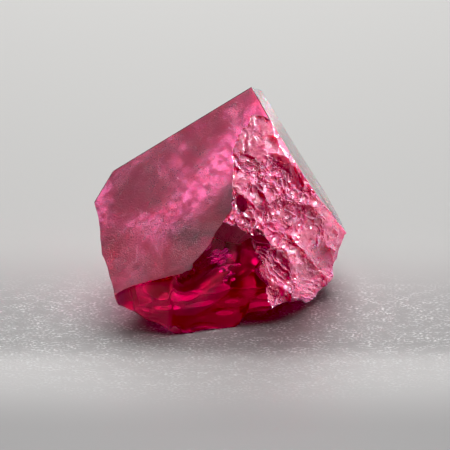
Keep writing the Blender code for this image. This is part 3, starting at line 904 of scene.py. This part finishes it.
def card():
    """Pressed card, matt and even. Its tone is painted with light and shade: it shades softly from the pale
    back, painted lit, to the darker front, with a painted shadow under and just in front of the stone and a
    paler band in front of that. Close to the stone it has a coarse grain, whose tops are painted white as
    sparkle."""
    material, tree = new_material("card_painted_light_and_shade_grained")
    place = add_node(tree, "ShaderNodeTexCoord").outputs["Object"]
    depth = add_node(tree, "ShaderNodeSeparateXYZ", {"Vector": place}).outputs["Y"]
    back, front, near = (
        add_node(
            tree,
            "ShaderNodeMapRange",
            {"Value": depth, "From Min": starts * MM, "From Max": ends * MM},
            interpolation_type="SMOOTHSTEP",
        ).outputs[0]
        for starts, ends in (PAINTED_LIGHT_BEHIND, PAINTED_FALLOFF_IN_FRONT, PAINTED_LIGHT_PAST_SHADOW)
    )
    near = add_node(tree, "ShaderNodeMath", {0: near, 1: front}, operation="MULTIPLY").outputs[0]

    middle, reach = (Vector((*sizes, 0)) * MM for sizes in (GRAIN_MIDDLE, GRAIN_REACH))
    inputs = {"Vector": place, "Location": middle, "Scale": (reach.x, reach.y, 1.0)}
    by_stone = add_node(tree, "ShaderNodeMapping", inputs, vector_type="TEXTURE").outputs[0]
    off = add_node(tree, "ShaderNodeVectorMath", {0: by_stone}, operation="LENGTH").outputs["Value"]
    starts, ends = GRAIN_FADE
    inputs = {"Value": off, "From Min": starts, "From Max": ends, "To Min": 1.0, "To Max": 0.0}
    grained = add_node(tree, "ShaderNodeMapRange", inputs, interpolation_type="SMOOTHSTEP").outputs[0]
    grain, patches = (
        add_node(
            tree, "ShaderNodeTexNoise", {"Vector": place, "Scale": 1 / (size * MM), "Detail": detail}
        ).outputs[0]
        for size, detail, *_ in (GRAIN, PATCHES)
    )
    # The tops of the grain are painted white: painted sparkle
    painted_sparkle = grained
    for lumps, (*_, low, high) in ((grain, GRAIN), (patches, PATCHES)):
        inputs = {"Value": lumps, "From Min": low, "From Max": high}
        share = add_node(tree, "ShaderNodeMapRange", inputs).outputs[0]
        painted_sparkle = add_node(tree, "ShaderNodeMath", {0: painted_sparkle, 1: share}, operation="MULTIPLY").outputs[0]

    # The darker base tone is the painted shadow by the stone and the painted falloff in front; the paler
    # tones are painted light
    tone = linear("#b0aeae")
    for amount, paler in ((back, "#d2d1cf"), (near, "#dddbda"), (painted_sparkle, "#ffffff")):
        inputs = {0: amount, 6: tone, 7: linear(paler)}
        tone = add_node(tree, "ShaderNodeMix", inputs, data_type="RGBA").outputs[2]
    inputs = {"Height": grain, "Strength": grained, "Distance": GRAIN_HEIGHT * MM}
    bump = add_node(tree, "ShaderNodeBump", inputs).outputs[0]
    inputs = {"Base Color": tone, "Roughness": CARD_ROUGHNESS, "Normal": bump}
    shader = add_node(tree, "ShaderNodeBsdfPrincipled", inputs)
    add_node(tree, "ShaderNodeOutputMaterial", {"Surface": shader.outputs[0]})
    return material


def studio_world(scene):
    """A studio that is bright behind and above, and dark where the camera stands."""
    world = bpy.data.worlds.new("studio")
    scene.world = world
    world.use_nodes = True
    tree = world.node_tree
    tree.nodes.clear()
    direction = add_node(tree, "ShaderNodeTexCoord").outputs["Generated"]
    parts = add_node(tree, "ShaderNodeSeparateXYZ", {"Vector": direction}).outputs
    inputs = {0: parts["Z"], 1: 0.6, 2: parts["Y"]}
    lift = add_node(tree, "ShaderNodeMath", inputs, operation="MULTIPLY_ADD").outputs[0]
    inputs = {"Value": lift, "From Min": -0.4, "From Max": 0.9, "To Min": 0.04, "To Max": 0.45}
    behind = add_node(tree, "ShaderNodeMapRange", inputs, interpolation_type="SMOOTHSTEP").outputs[0]
    light = add_node(tree, "ShaderNodeBackground", {"Strength": behind})
    add_node(tree, "ShaderNodeOutputWorld", {"Surface": light.outputs[0]})


def lit_for_the_stone(scene):
    """The collection of what the stone's own lamps light, made when it is first asked for."""
    lit = bpy.data.collections.get(LIT_FOR_THE_STONE)
    if lit is None:
        lit = bpy.data.collections.new(LIT_FOR_THE_STONE)
        scene.collection.children.link(lit)
    return lit


def make_floor(scene):
    mesh = bmesh.new()
    bmesh.ops.create_grid(mesh, x_segments=1, y_segments=1, size=FLOOR_SIZE * MM)
    data = bpy.data.meshes.new("floor")
    mesh.to_mesh(data)
    mesh.free()
    data.materials.append(card())
    floor = bpy.data.objects.new("floor", data)
    scene.collection.objects.link(floor)
    floor.location.z = -FLOOR_GAP * MM


def make_lamp(scene, name, at, aim, size, radiance, only_stone):
    light = bpy.data.lights.new(name, "AREA")
    light.size = size * MM
    light.energy = radiance * (size * MM) ** 2 * math.pi
    lamp = bpy.data.objects.new(name, light)
    scene.collection.objects.link(lamp)
    lamp.location = Vector(at) * MM
    lamp.rotation_euler = (Vector(aim) - Vector(at)).to_track_quat("-Z", "Y").to_euler()
    if only_stone:
        lamp.light_linking.receiver_collection = lit_for_the_stone(scene)


def make_camera(scene):
    data = bpy.data.cameras.new("camera")
    camera = bpy.data.objects.new("camera", data)
    scene.collection.objects.link(camera)
    data.sensor_width = SENSOR
    data.lens = SENSOR * CAMERA_DISTANCE / FIELD
    data.clip_start, data.clip_end = 0.001, 100.0
    at = to_metres((CAMERA_AIM[0], CAMERA_AIM[1], CAMERA_DISTANCE))
    camera.location = at
    camera.rotation_euler = (to_metres(CAMERA_AIM) - at).to_track_quat("-Z", "Y").to_euler()
    scene.camera = camera


class BerylSizes(bpy.types.PropertyGroup):
    hackly_grid: bpy.props.FloatProperty(
        name="Hackly grid",
        description="Spacing of the mesh on the hackly break",
        default=0.04 * MM,
        unit="LENGTH",
    )
    smooth_grid: bpy.props.FloatProperty(
        name="Smooth grid",
        description="Spacing of the mesh on the smooth breaks",
        default=0.15 * MM,
        unit="LENGTH",
    )


class BerylLook(bpy.types.PropertyGroup):
    body_colour: bpy.props.FloatVectorProperty(
        name="Body colour",
        description="Colour that a millimetre of beryl lets through",
        subtype="COLOR",
        default=linear("#ee00d8")[:3],
        min=0,
        max=1,
    )
    depth_of_colour: bpy.props.FloatProperty(
        name="Depth of colour", description="How strongly the body absorbs, per metre", default=1000.0
    )
    frost: bpy.props.FloatProperty(
        name="Frost", description="Roughness of the etched faces", default=0.35, subtype="FACTOR"
    )
    milkiness: bpy.props.FloatProperty(
        name="Milkiness",
        description="Share of light that the clearest parts of etched faces scatter",
        default=0.11,
        subtype="FACTOR",
    )
    veils: bpy.props.FloatProperty(
        name="Veils",
        description="Share of light that the cloudiest parts of etched faces scatter",
        default=0.54,
        subtype="FACTOR",
    )
    crest_white: bpy.props.FloatProperty(
        name="Crest white",
        description="Share of light that the crests of the hackly break scatter",
        default=0.55,
        subtype="FACTOR",
    )


class BERYL_OT_stone(bpy.types.Operator):
    """Carve the crystal and give it its beryl"""

    bl_idname = "beryl.stone"
    bl_label = "Carve the crystal"

    def execute(self, context):
        scene = context.scene
        mesh = carve_stone(scene.beryl_sizes)
        mesh.materials.append(beryl(scene.beryl_look))
        stone = bpy.data.objects.new("crystal_stone", mesh)
        scene.collection.objects.link(stone)
        lit_for_the_stone(scene).objects.link(stone)
        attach(stone, "root")
        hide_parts("crystal")
        return {"FINISHED"}


class BERYL_OT_stage(bpy.types.Operator):
    """Set the floor, the lights and the camera"""

    bl_idname = "beryl.stage"
    bl_label = "Set the stage"

    def execute(self, context):
        scene = context.scene
        make_floor(scene)
        studio_world(scene)
        for name, (at, aim, size, radiance, only_stone) in LAMPS.items():
            make_lamp(scene, name, at, aim, size, radiance, only_stone)
        for i, angles in enumerate(SPARK_LAMPS):
            turn, climb = (math.radians(angle) for angle in angles)
            level = SPARK_DISTANCE * math.cos(climb)
            at = (level * math.sin(turn), -level * math.cos(turn), SPARK_DISTANCE * math.sin(climb))
            make_lamp(scene, f"spark_lamp_{i + 1}", at, LAMP_AIM, SPARK_SIZE, SPARK_RADIANCE, True)
        make_camera(scene)
        scene.view_settings.view_transform = "Standard"
        scene.view_settings.use_curve_mapping = True
        curve = scene.view_settings.curve_mapping
        curve.black_level = (BLACK_LEVEL, BLACK_LEVEL, BLACK_LEVEL)
        curve.update()
        scene.cycles.max_bounces = BOUNCES
        scene.cycles.glossy_bounces = MIRROR_BOUNCES
        scene.cycles.transmission_bounces = BOUNCES
        return {"FINISHED"}


class BERYL_PT_panel(bpy.types.Panel):
    """Sizes, finish and steps of the crystal"""

    bl_label = "Red beryl crystal"
    bl_idname = "BERYL_PT_panel"
    bl_space_type = "VIEW_3D"
    bl_region_type = "UI"
    bl_category = "Red beryl"

    def draw(self, context):
        for group in (context.scene.beryl_sizes, context.scene.beryl_look):
            for name in group.__annotations__:
                self.layout.prop(group, name)
        for operator in (BERYL_OT_stone, BERYL_OT_stage):
            self.layout.operator(operator.bl_idname)


CLASSES = (BerylSizes, BerylLook, BERYL_OT_stone, BERYL_OT_stage, BERYL_PT_panel)


def register():
    for c in CLASSES:
        bpy.utils.register_class(c)
    bpy.types.Scene.beryl_sizes = bpy.props.PointerProperty(type=BerylSizes)
    bpy.types.Scene.beryl_look = bpy.props.PointerProperty(type=BerylLook)


def unregister():
    del bpy.types.Scene.beryl_look
    del bpy.types.Scene.beryl_sizes
    for c in reversed(CLASSES):
        bpy.utils.unregister_class(c)


def main():
    register()
    bpy.ops.beryl.stage()
    bpy.ops.beryl.stone()
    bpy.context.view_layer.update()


if __name__ == "__main__":
    main()
